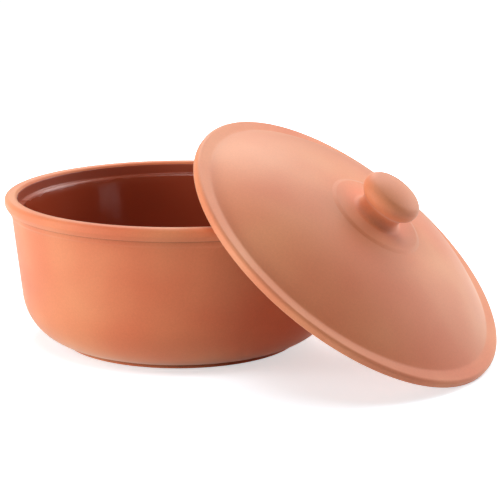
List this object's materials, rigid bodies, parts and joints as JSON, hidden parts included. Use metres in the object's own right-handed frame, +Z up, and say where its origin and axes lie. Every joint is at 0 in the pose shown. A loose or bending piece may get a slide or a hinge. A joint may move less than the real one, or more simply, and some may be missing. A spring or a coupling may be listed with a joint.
{
  "type": "bread cloche",
  "caption": "Round fired clay baking pot, glazed inside, with a rim band and a foot ring, and its low domed lid with a knob leaning on the rim.",
  "frame": {"origin": "centre of the pot's foot ring, on the table", "axes": "+Z up, +X towards the side where the lid leans, the XZ plane is the plane of symmetry"},
  "size_m": [0.3721, 0.26, 0.1648],
  "materials": {
    "clay": "matte",
    "glaze": "gloss"
  },
  "bodies": {
    "pot": {"pot": "clay", "interior_glaze": "glaze"},
    "lid": {"lid": "clay"}
  },
  "joints": [
    {"name": "lid_lift", "type": "slide", "parent": "pot", "child": "lid", "axis": [0, 0, 1], "range_m": [0, 0.2]}
  ]
}
